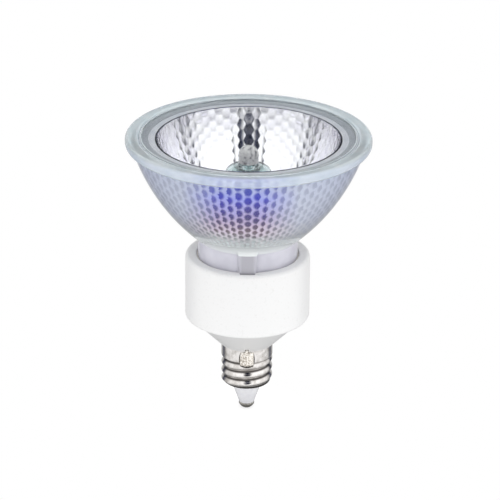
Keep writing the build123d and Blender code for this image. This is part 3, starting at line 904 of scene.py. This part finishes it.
# Steatite: dense white ceramic with a fine satin grain and hardly visible specks. The cone, which faces down,
# is painted a little greyer: painted shade. The real grain is finer. It is this coarse so that a close view
# shows it.
ceramic_grain = 0.09 * mm
ceramic_grain_depth = 0.004 * mm
speck = 0.5 * mm
cone_fade = 0.6 * mm
steatite, tree, shader = new_material("white_steatite", {
    "Roughness": 0.38,
    "Subsurface Weight": 0.15,
    "Subsurface Radius": (1, 1, 1),
    "Subsurface Scale": 0.4 * mm,
})
place = add_node(tree, "ShaderNodeTexCoord")
specks = add_node(tree, "ShaderNodeTexNoise", {
    "Vector": place.outputs["Object"], "Scale": 1 / speck, "Detail": 3,
})
white = add_node(
    tree, "ShaderNodeValToRGB", {"Fac": specks.outputs[0]}, stops=[(0.2, "#D6D6D5"), (0.42, "#DFDFDF")]
)
axes = add_node(tree, "ShaderNodeSeparateXYZ", {0: place.outputs["Object"]})
# The cone below the barrel is painted greyer: painted shade
painted_cone_shade = add_node(tree, "ShaderNodeMapRange", {
    "Value": axes.outputs["Z"],
    "From Min": cone_rise,
    "From Max": cone_rise - cone_fade,
})
add_node(tree, "ShaderNodeMixRGB", {
    "Fac": painted_cone_shade.outputs[0], "Color1": white.outputs[0], "Color2": linear("#C9C9C9"),
}, shader.inputs["Base Color"])
grain = add_node(tree, "ShaderNodeTexNoise", {"Vector": place.outputs["Object"], "Scale": 1 / ceramic_grain})
add_node(tree, "ShaderNodeBump", {
    "Height": grain.outputs[0], "Distance": ceramic_grain_depth,
}, shader.inputs["Normal"])

bm = bmesh.new()
turned(bm, softened([
    (stem_bore_radius, spigot_bottom, spigot_round),
    (spigot_radius, spigot_bottom, spigot_round),
    (spigot_radius, 0, 0),
    (foot_radius, 0, foot_round),
    (ceramic_radius - cone_shoulder, cone_rise, cone_round),
    (ceramic_radius, cone_rise, barrel_round),
    (ceramic_radius, ceramic_top, barrel_round),
    (socket_radius, ceramic_top, edge_round),
    (socket_radius, ceramic_top - socket_depth, 0),
    (chamber_radius, ceramic_top - socket_depth, edge_round),
    (chamber_radius, chamber_floor + chamber_radius - stem_bore_radius, chamber_round),
    (stem_bore_radius, chamber_floor, edge_round),
]), closed=True)
ceramic = add_piece("ceramic_barrel", bm, [steatite])
cutters = (
    (notch_half_width, socket_radius, notch_depth, ceramic_top),
    (wire_slot_half_width, foot_radius, wire_slot_height, 0),
)
for half_width, radius, depth, height in cutters:
    bm = bmesh.new()
    bmesh.ops.create_cube(bm, size=2)
    bmesh.ops.scale(bm, verts=bm.verts, vec=(half_width, notch_depth, depth))
    bmesh.ops.translate(bm, verts=bm.verts, vec=(0, -radius, height))
    cutter = add_piece("ceramic_cutter", bm, [])
    cut = ceramic.modifiers.new("cut", "BOOLEAN")
    cut.object = cutter
    cut_ceramic = ceramic.evaluated_get(bpy.context.evaluated_depsgraph_get())
    cut_mesh = bpy.data.meshes.new_from_object(cut_ceramic)
    ceramic.modifiers.clear()
    ceramic.data = cut_mesh
    bpy.data.objects.remove(cutter)
ceramic.data.set_sharp_from_angle(angle=crease_angle)
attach(ceramic, "root")
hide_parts("ceramic_base")


# Cement bead
# The fired cement that holds the neck, where it was squeezed up between neck and socket and wiped off a
# little below the edge of the ceramic.
cement_fall = 0.4 * mm
cement_bead_height = 1.0 * mm
bm = bmesh.new()
turned(bm, [
    Vector((neck_radius + bead_margin, ceramic_top - cement_fall - cement_bead_height)),
    Vector((socket_radius - bead_margin, ceramic_top - cement_fall - cement_bead_height)),
    Vector((socket_radius - bead_margin, ceramic_top - cement_fall)),
    Vector((neck_radius + bead_margin, ceramic_top - cement_fall)),
], closed=True)
cement_bead = add_piece("cement_bead", bm, [fired_cement])
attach(cement_bead, "root")


# Wiring in the base
# The left lead is spliced to a wire that runs out to the shell, in a braided sleeve. The right lead ends in
# a fuse, and a second wire runs from there to the centre contact.

# Nickel wire, drawn: warm grey metal with a soft shine.
nickel_wire, tree, shader = new_material("drawn_nickel", {"Metallic": 1, "Roughness": 0.28})
place = add_node(tree, "ShaderNodeTexCoord")
lines = add_node(
    tree, "ShaderNodeTexNoise", {"Vector": place.outputs["Object"], "Scale": 1 / coarse_line_width}
)
add_node(
    tree, "ShaderNodeValToRGB", {"Fac": lines.outputs[0]}, shader.inputs["Base Color"],
    stops=[(0.3, "#A5A29C"), (0.7, "#C9C6C0")],
)
add_node(
    tree, "ShaderNodeBump", {"Height": lines.outputs[0], "Distance": draw_line_depth}, shader.inputs["Normal"]
)
for node in ("fuse_link", "centre_wire"):
    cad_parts[node].material_slots[0].material = nickel_wire

# Plated brass tube, crimped: yellow-grey where the plating is thin.
worn_patch = 0.5 * mm
plated_brass, tree, shader = new_material("crimped_plated_brass", {"Metallic": 1, "Roughness": 0.3})
place = add_node(tree, "ShaderNodeTexCoord")
worn = add_node(tree, "ShaderNodeTexNoise", {"Vector": place.outputs["Object"], "Scale": 1 / worn_patch})
add_node(
    tree, "ShaderNodeValToRGB", {"Fac": worn.outputs[0]}, shader.inputs["Base Color"],
    stops=[(0.35, "#B9A66F"), (0.6, "#C6C3BB")],
)
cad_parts["splice_sleeve"].material_slots[0].material = plated_brass

# Soda glass tube: clear, faintly green, with draw streaks.
tube_glass, tree, shader = new_material("fuse_tube_glass", {
    "Base Color": linear("#E6F0EA"),
    "Roughness": 0.04,
    "IOR": 1.51,
    "Transmission Weight": 1,
})
place = add_node(tree, "ShaderNodeTexCoord")
streaks = add_node(tree, "ShaderNodeTexNoise", {"Vector": place.outputs["Object"], "Scale": 1 / streak_width})
add_node(
    tree, "ShaderNodeBump", {"Height": streaks.outputs[0], "Distance": streak_depth}, shader.inputs["Normal"]
)
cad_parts["fuse_tube"].material_slots[0].material = tube_glass

# Braided glass fibre: cream yarn in a tight plait.
plait = 0.3 * mm
plait_depth = 0.05 * mm
glass_braid, tree, shader = new_material("braided_glass_fibre", {"Roughness": 0.85})
place = add_node(tree, "ShaderNodeTexCoord")
yarns = add_node(tree, "ShaderNodeTexVoronoi", {"Vector": place.outputs["Object"], "Scale": 1 / plait})
add_node(
    tree, "ShaderNodeValToRGB", {"Fac": yarns.outputs[0]}, shader.inputs["Base Color"],
    stops=[(0.0, "#EFECE2"), (0.8, "#B9B4A6")],
)
add_node(
    tree, "ShaderNodeBump", {"Height": yarns.outputs[0], "Distance": plait_depth}, shader.inputs["Normal"]
)
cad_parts["insulating_sleeve"].material_slots[0].material = glass_braid


# Screw shell
# Thin brass sheet, drawn to a cup, plated with nickel, and rolled to a round thread. Its plain skirt is
# crimped on the ceramic's spigot, and its bottom is turned in around the insulator.
shell_low, shell_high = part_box("screw_shell")
shell_radius = 5.3 * mm
shell_wall = 0.4 * mm
skirt_height = 2.8 * mm
thread_pitch = 1.86 * mm
thread_depth = 0.45 * mm
thread_relief = 0.02 * mm
thread_phase = radians(136.5)
thread_runout = 0.35 * mm
thread_foot = 0.2 * mm
shell_bottom_round = 0.5 * mm
hole_radius = 3.25 * mm
skirt_bore_radius = shell_radius - shell_wall
thread_root_radius = shell_radius - thread_depth
shell_bore_radius = thread_root_radius - shell_wall
thread_bottom = shell_low.z + shell_bottom_round
thread_throw = (thread_depth - thread_relief) / 2
shell_height = shell_high.z - shell_low.z
shell_steps = 240
shell_rows = 110
row_crowding = 1.15
shell_crease = radians(50)


def shell_ring(height):
    """Ring of the shell's outer face: the thread is an off-centre circle that turns as it rises."""
    points = []
    for step in range(shell_steps):
        turn = 2 * pi * step / shell_steps
        lead = turn - thread_phase - 2 * pi * (height - thread_bottom) / thread_pitch
        middle_radius = thread_root_radius + thread_throw
        radius = thread_throw * cos(lead) + sqrt(middle_radius ** 2 - (thread_throw * sin(lead)) ** 2)
        foot = eased(height, shell_low.z + thread_foot, thread_bottom + thread_runout)
        radius = thread_root_radius + (radius - thread_root_radius) * foot
        skirt = eased(height, -skirt_height - thread_runout, -skirt_height + thread_runout)
        radius += (shell_radius - radius) * skirt
        rounding = max(0, shell_low.z + shell_bottom_round - height)
        radius -= shell_bottom_round - sqrt(max(0, shell_bottom_round ** 2 - rounding ** 2))
        points.append(Vector((radius * cos(turn), radius * sin(turn), height)))
    return points


# Bright nickel on rolled brass: a clear mirror shine, broken by fine rolling lines round the shell, which are
# coarser than real ones so that a close view shows them. The roots of the thread and the turned-in bottom are
# painted dark: painted shade.
rolling_line = 0.1 * mm
rolling_depth = 0.003 * mm
rolling_stretch = (0.05, 0.05, 1)
stain = 1.4 * mm
root_shade_rise = 0.13 * mm
bright_nickel, tree, shader = new_material("bright_nickel_plate", {"Metallic": 1, "Roughness": 0.16})
place = add_node(tree, "ShaderNodeTexCoord")
stains = add_node(tree, "ShaderNodeTexNoise", {
    "Vector": place.outputs["Object"], "Scale": 1 / stain, "Detail": 4,
})
nickel = add_node(
    tree, "ShaderNodeValToRGB", {"Fac": stains.outputs[0]}, stops=[(0.3, "#A5A19D"), (0.6, "#D2CFCD")]
)
flat = add_node(tree, "ShaderNodeMapping", {"Vector": place.outputs["Object"], "Scale": (1, 1, 0)})
outwards = add_node(tree, "ShaderNodeVectorMath", {0: flat.outputs[0]}, operation="LENGTH")
# Darker where the surface comes in to the thread's root or below it: painted shade
painted_root_shade = add_node(tree, "ShaderNodeMapRange", {
    "Value": outwards.outputs["Value"],
    "From Min": thread_root_radius + root_shade_rise,
    "From Max": thread_root_radius,
})
add_node(tree, "ShaderNodeMixRGB", {
    "Fac": painted_root_shade.outputs[0], "Color1": nickel.outputs[0], "Color2": linear("#3E3A38"),
}, shader.inputs["Base Color"])
rolled = add_node(tree, "ShaderNodeMapping", {"Vector": place.outputs["Object"], "Scale": rolling_stretch})
lines = add_node(tree, "ShaderNodeTexNoise", {"Vector": rolled.outputs[0], "Scale": 1 / rolling_line})
add_node(
    tree, "ShaderNodeBump", {"Height": lines.outputs[0], "Distance": rolling_depth}, shader.inputs["Normal"]
)

bm = bmesh.new()
shell_rings = [ring(hole_radius, hole_radius, shell_low.z, steps=shell_steps)]
for step in range(1, shell_rows + 1):
    risen = shell_height * (step / shell_rows) ** row_crowding
    shell_rings.append(shell_ring(shell_low.z + risen))
for radius, height in (
    (skirt_bore_radius, shell_high.z),
    (skirt_bore_radius, -skirt_height + shell_wall),
    (shell_bore_radius, -skirt_height),
    (shell_bore_radius, shell_low.z + shell_wall),
    (hole_radius, shell_low.z + shell_wall),
):
    shell_rings.append(ring(radius, radius, height, steps=shell_steps))
skin(bm, shell_rings, closed=True)
shell = add_piece("threaded_shell", bm, [bright_nickel], shell_crease)
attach(shell, "root")
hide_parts("screw_shell")


# Insulator
# A cone of white glazed ceramic, pressed and fired, that keeps the centre contact apart from the shell. The
# shell's turned-in edge holds it, and the centre wire runs down its bore.
insulator_low, insulator_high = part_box("insulator")
cone_top_radius = 3.2 * mm
cone_tip_radius = 1.55 * mm
insulator_bore_radius = 0.35 * mm
plug_clearance = 0.05 * mm
plug_radius = shell_bore_radius - plug_clearance
plug_bottom = shell_low.z + shell_wall
plug_round = 0.2 * mm
tip_round = 0.15 * mm
bore_edge_round = 0.1 * mm

# Glazed ceramic: white with a cool cast, smooth and a little glossy.
glaze_ripple = 1.2 * mm
glaze_depth = 0.01 * mm
glazed_ceramic, tree, shader = new_material("glazed_white_ceramic", {"Roughness": 0.2})
place = add_node(tree, "ShaderNodeTexCoord")
ripples = add_node(tree, "ShaderNodeTexNoise", {"Vector": place.outputs["Object"], "Scale": 1 / glaze_ripple})
add_node(
    tree, "ShaderNodeValToRGB", {"Fac": ripples.outputs[0]}, shader.inputs["Base Color"],
    stops=[(0.3, "#EFEFF4"), (0.7, "#F8F8FB")],
)
add_node(
    tree, "ShaderNodeBump", {"Height": ripples.outputs[0], "Distance": glaze_depth}, shader.inputs["Normal"]
)

bm = bmesh.new()
turned(bm, softened([
    (insulator_bore_radius, insulator_low.z, 0),
    (cone_tip_radius, insulator_low.z, tip_round),
    (cone_top_radius, shell_low.z, plug_round),
    (cone_top_radius, plug_bottom, 0),
    (plug_radius, plug_bottom, bore_edge_round),
    (plug_radius, insulator_high.z, plug_round),
    (insulator_bore_radius, insulator_high.z, bore_edge_round),
]), closed=True)
insulator = add_piece("insulating_cone", bm, [glazed_ceramic])
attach(insulator, "root")
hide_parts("insulator")


# Centre contact
# A small plated eyelet on the cone's tip, with the look of the nickel wire. The centre wire comes out through
# it and is soldered over, which leaves a dome that the holder's spring presses on.
contact_low, contact_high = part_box("centre_contact")
dome_low, dome_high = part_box("contact_solder")
dome_bulge = 0.28 * mm
dome_steps = 12
eyelet_round = 0.12 * mm

# Soft solder: dull silver, with the frosted grain that it freezes with.
frost = 0.3 * mm
frost_depth = 0.05 * mm
soft_solder, tree, shader = new_material("soft_solder", {"Metallic": 1, "Roughness": 0.3})
place = add_node(tree, "ShaderNodeTexCoord")
frosting = add_node(tree, "ShaderNodeTexNoise", {
    "Vector": place.outputs["Object"], "Scale": 1 / frost, "Detail": 4,
})
add_node(
    tree, "ShaderNodeValToRGB", {"Fac": frosting.outputs[0]}, shader.inputs["Base Color"],
    stops=[(0.3, "#8E8C88"), (0.7, "#BDBBB6")],
)
add_node(
    tree, "ShaderNodeBump", {"Height": frosting.outputs[0], "Distance": frost_depth}, shader.inputs["Normal"]
)

bm = bmesh.new()
turned(bm, softened([
    (insulator_bore_radius, contact_low.z, 0),
    (contact_high.x, contact_low.z, eyelet_round),
    (contact_high.x, contact_high.z, eyelet_round),
    (insulator_bore_radius, contact_high.z, 0),
]), closed=True)
eyelet = add_piece("contact_eyelet", bm, [nickel_wire])
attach(eyelet, "root")
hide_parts("centre_contact")

bm = bmesh.new()
dome_rim = (dome_high.x, dome_high.z)
dome_outline = [Vector((0, dome_high.z)), Vector(dome_rim)]
dome_outline += bulged(dome_rim, (0, dome_low.z), -dome_bulge, dome_steps)
dome_outline.append(Vector((0, dome_low.z)))
turned(bm, dome_outline)
solder_dome = add_piece("contact_solder_dome", bm, [soft_solder])
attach(solder_dome, "root")
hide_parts("contact_solder")


# Side solder
# The lead that comes out over the shell's edge, bent down on the skirt and soldered there: a lumpy pad that
# ran a little way into the first thread.
solder_low, solder_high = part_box("side_solder")
solder_thickness = 0.62 * mm
lead_half_width = 0.9 * mm
lead_cover = 0.22 * mm
edge_shade_width = 0.45 * mm
foot_width = 0.9 * mm
solder_sink = 0.12 * mm
solder_inner_share = 0.93
solder_columns = 44
solder_lines = 44
solder_crease = radians(60)
corner_pull = 0.55
edge_power = 4
# Lumps of the pad: their size, their share of its thickness, and the waves in radians that they are made of
lump = 0.7 * mm
lump_share = 0.15
across_wave = 5
down_wave = 4.2
slant_wave = 2
wave_phase = 1

# Soft solder: warm beige-silver, rough, with bright and dull crystals. At the sides and, most of all, at the
# foot it is painted dark in a ragged band: painted shade where the pad meets the skirt.
crystal = 0.35 * mm
crystal_depth = 0.06 * mm
dull_crystal_roughness = 0.5
bright_crystal_roughness = 0.2
shade_raggedness = 1.2
shade_start = 0.8
shade_end = 1.1
solder_with_edge_shade, tree, shader = new_material("solder_with_painted_edge_shade", {"Metallic": 0.6})
place = add_node(tree, "ShaderNodeTexCoord")
crystals = add_node(
    tree, "ShaderNodeTexNoise", {"Vector": place.outputs["Object"], "Scale": 1 / crystal, "Detail": 5}
)
silver = add_node(
    tree, "ShaderNodeValToRGB", {"Fac": crystals.outputs[0]},
    stops=[(0.34, "#8E857B"), (0.47, "#C9C2B8"), (0.6, "#F0ECE6")],
)
axes = add_node(tree, "ShaderNodeSeparateXYZ", {0: place.outputs["Object"]})
aside = add_node(tree, "ShaderNodeMath", {0: axes.outputs["X"]}, operation="ABSOLUTE")
to_side = add_node(tree, "ShaderNodeMapRange", {
    "Value": aside.outputs[0],
    "From Min": solder_high.x - edge_shade_width,
    "From Max": solder_high.x,
})
to_foot = add_node(tree, "ShaderNodeMapRange", {
    "Value": axes.outputs["Z"],
    "From Min": solder_low.z + foot_width,
    "From Max": solder_low.z,
})
# The sides and the foot are painted dark in a ragged band: painted shade
edge_shade = add_node(
    tree, "ShaderNodeMath", {0: to_side.outputs[0], 1: to_foot.outputs[0]}, operation="MAXIMUM"
)
ragged = add_node(tree, "ShaderNodeMath", {
    0: crystals.outputs[0], 1: shade_raggedness, 2: edge_shade.outputs[0],
}, operation="MULTIPLY_ADD")
ragged_shade = add_node(tree, "ShaderNodeMapRange", {
    "Value": ragged.outputs[0], "From Min": shade_start, "From Max": shade_end,
})
add_node(tree, "ShaderNodeMixRGB", {
    "Fac": ragged_shade.outputs[0], "Color1": silver.outputs[0], "Color2": linear("#241F1B"),
}, shader.inputs["Base Color"])
add_node(tree, "ShaderNodeMapRange", {
    "Value": crystals.outputs[0],
    "To Min": dull_crystal_roughness,
    "To Max": bright_crystal_roughness,
}, shader.inputs["Roughness"])
add_node(tree, "ShaderNodeBump", {
    "Height": crystals.outputs[0], "Distance": crystal_depth,
}, shader.inputs["Normal"])

bm = bmesh.new()
solder_grid = []
for line in range(solder_lines + 1):
    down = 2 * line / solder_lines - 1
    row = []
    for column in range(solder_columns + 1):
        aside = 2 * column / solder_columns - 1
        square = max(abs(aside), abs(down))
        round_off = square / hypot(aside, down) if square else 1
        shrink = 1 - corner_pull * (1 - round_off) * square
        across = solder_high.x * aside * shrink
        height = (solder_low.z + solder_high.z) / 2 + (solder_high.z - solder_low.z) / 2 * down * shrink
        edge = 1 - square ** edge_power
        bumps = sin(across / lump * across_wave + wave_phase)
        bumps *= sin(height / lump * down_wave + across / lump * slant_wave)
        over_lead = lead_cover * max(0, 1 - (across / lead_half_width) ** 2) * edge
        thickness = solder_thickness * sqrt(edge) * (1 - lump_share + lump_share * bumps)
        lift = thickness + over_lead - solder_sink
        turn = across / shell_radius
        radius = shell_radius + lift
        row.append(Vector((radius * sin(turn), -radius * cos(turn), height)))
    solder_grid.append(row)
outer = [[bm.verts.new(point) for point in row] for row in solder_grid]
inner = [
    [bm.verts.new((point.x * solder_inner_share, point.y * solder_inner_share, point.z)) for point in row]
    for row in solder_grid
]
for face_grid in (outer, inner):
    for low, high in zip(face_grid, face_grid[1:]):
        for column in range(solder_columns):
            bm.faces.new((low[column], low[column + 1], high[column + 1], high[column]))
bmesh.ops.bridge_loops(bm, edges=[edge for edge in bm.edges if edge.is_boundary])
bmesh.ops.recalc_face_normals(bm, faces=bm.faces)
side_solder = add_piece("soldered_lead", bm, [solder_with_edge_shade], solder_crease)
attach(side_solder, "root")
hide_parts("side_solder")
# The lead itself is tinned with the same solder, as its end above the pad shows
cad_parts["shell_wire"].material_slots[0].material = solder_with_edge_shade


# Studio floor
# A small round of pale grey card under the lamp. To the camera it also glows, so that it looks as white as
# the backdrop, apart from the lamp's own faint shadow.
floor_radius = 12 * mm
floor_glow = 0.72
fibre = 1.5 * mm
pale_card, tree, shader = new_material("pale_grey_card", {
    "Roughness": 0.8,
    "Emission Color": linear("#FFFFFF"),
})
place = add_node(tree, "ShaderNodeTexCoord")
fibres = add_node(tree, "ShaderNodeTexNoise", {"Vector": place.outputs["Object"], "Scale": 1 / fibre})
add_node(
    tree, "ShaderNodeValToRGB", {"Fac": fibres.outputs[0]}, shader.inputs["Base Color"],
    stops=[(0.3, "#A2A2A2"), (0.7, "#A9A9A9")],
)
rays = add_node(tree, "ShaderNodeLightPath")
add_node(
    tree, "ShaderNodeMath", {0: rays.outputs["Is Camera Ray"], 1: floor_glow},
    shader.inputs["Emission Strength"], operation="MULTIPLY",
)
bm = bmesh.new()
skin(bm, [ring(0, 0, 0), ring(floor_radius, floor_radius, 0)])
floor = add_piece("studio_floor", bm, [pale_card])
floor.location.z = cad_box[0].z


# Light tent
# White cloth as for a product picture: brighter above, dimmer behind, and a little dimmer below and on the
# left. Dark flags hang in front around the camera, straight behind, and low behind to both sides. Metal and
# glass see the cloth with its flags, and only the camera's own rays see plain white in its place.
cloth_strength = 1.4
left_share = 0.92
# Behind, below and above: where a ray's direction starts to change the light, where that is full, and the
# share of the light there
back_start = -0.2
back_full = 0.6
back_share = 0.56
low_start = -0.1
low_full = -0.6
low_share = 0.95
high_start = 0.05
high_full = 0.4
high_share = 1.2
# Azimuth and elevation of each flag, half angles of its dark middle and of its soft edge, all in degrees, and
# the share of the light that it leaves
flags = [
    (-90, 18, 6, 15, 0.12),
    (-90, 30, 8, 18, 0.12),
    (-90, 41, 8, 18, 0.12),
    (90, 23, 5, 11, 0.03),
    (38, 5, 6, 18, 0.2),
    (142, 5, 6, 18, 0.2),
    (38, -20, 6, 20, 0.3),
    (142, -20, 6, 20, 0.3),
    (67, -45, 8, 26, 0.45),
    (113, -45, 8, 26, 0.45),
]
tent = bpy.data.worlds.new("light_tent")
bpy.context.scene.world = tent
tent.use_nodes = True
tree = tent.node_tree
ray = add_node(tree, "ShaderNodeTexCoord")
axes = add_node(tree, "ShaderNodeSeparateXYZ", {0: ray.outputs["Generated"]})
cloth = add_node(tree, "ShaderNodeMapRange", {
    "Value": axes.outputs["X"], "From Min": -1, "From Max": 1, "To Min": left_share, "To Max": 1,
})
shades = [
    (axes.outputs["Y"], back_full, back_start, back_share),
    (axes.outputs["Z"], low_full, low_start, low_share),
    (axes.outputs["Z"], high_full, high_start, high_share),
]
for azimuth, elevation, dark_angle, clear_angle, left_light in flags:
    level = cos(radians(elevation))
    towards = (level * cos(radians(azimuth)), level * sin(radians(azimuth)), sin(radians(elevation)))
    facing = add_node(
        tree, "ShaderNodeVectorMath", {0: ray.outputs["Generated"], 1: towards}, operation="DOT_PRODUCT"
    )
    dark = cos(radians(dark_angle))
    clear = cos(radians(clear_angle))
    shades.append((facing.outputs["Value"], dark, clear, left_light))
for value, full, start, left_light in shades:
    shade = add_node(tree, "ShaderNodeMapRange", {
        "Value": value, "From Min": start, "From Max": full, "To Min": 1, "To Max": left_light,
    })
    cloth = add_node(
        tree, "ShaderNodeMath", {0: cloth.outputs[0], 1: shade.outputs[0]}, operation="MULTIPLY"
    )
rays = add_node(tree, "ShaderNodeLightPath")
lit = add_node(tree, "ShaderNodeMath", {0: cloth.outputs[0], 1: cloth_strength}, operation="MULTIPLY")
seen = add_node(tree, "ShaderNodeMix", {
    "Factor": rays.outputs["Is Camera Ray"], "A": lit.outputs[0], "B": 1,
}, tree.nodes["Background"].inputs["Strength"])
# What light the flags leave is bluish
add_node(
    tree, "ShaderNodeValToRGB", {"Fac": seen.outputs[0]}, tree.nodes["Background"].inputs["Color"],
    stops=[(0.03, "#7F92E8"), (0.35, "#FFFFFF")],
)


# Camera
# It looks down on the lamp from the front, through a long lens, with the lens centred on the picture. Its
# distance, pitch and roll are those that were fitted to the photograph.
image_size = 500
sensor_width = 36.0
camera_distance = 650 * mm
camera_pitch = radians(22.7)
camera_roll = radians(0.5)
pixels_per_metre = 4955
aim = Vector((0, 0, 45.1 * mm))
aim_pixel = (247.75, 137.4)
forward = Vector((0, cos(camera_pitch), -sin(camera_pitch)))
level_right = Vector((1, 0, 0))
level_up = Vector((0, sin(camera_pitch), cos(camera_pitch)))
aim_right = (aim_pixel[0] - image_size / 2) / pixels_per_metre
aim_up = (image_size / 2 - aim_pixel[1]) / pixels_per_metre
camera_right = level_right * cos(camera_roll) + level_up * sin(camera_roll)
camera_up = level_up * cos(camera_roll) - level_right * sin(camera_roll)
lens = bpy.data.cameras.new("camera")
lens.sensor_width = sensor_width
lens.lens = pixels_per_metre * camera_distance * sensor_width / image_size
lens.clip_start = 10 * mm
camera = bpy.data.objects.new("camera", lens)
camera.matrix_world = Matrix((camera_right, camera_up, -forward)).transposed().to_4x4()
camera.location = aim - level_right * aim_right - level_up * aim_up - forward * camera_distance
bpy.context.scene.collection.objects.link(camera)
bpy.context.scene.camera = camera
bpy.context.scene.view_settings.view_transform = "Standard"
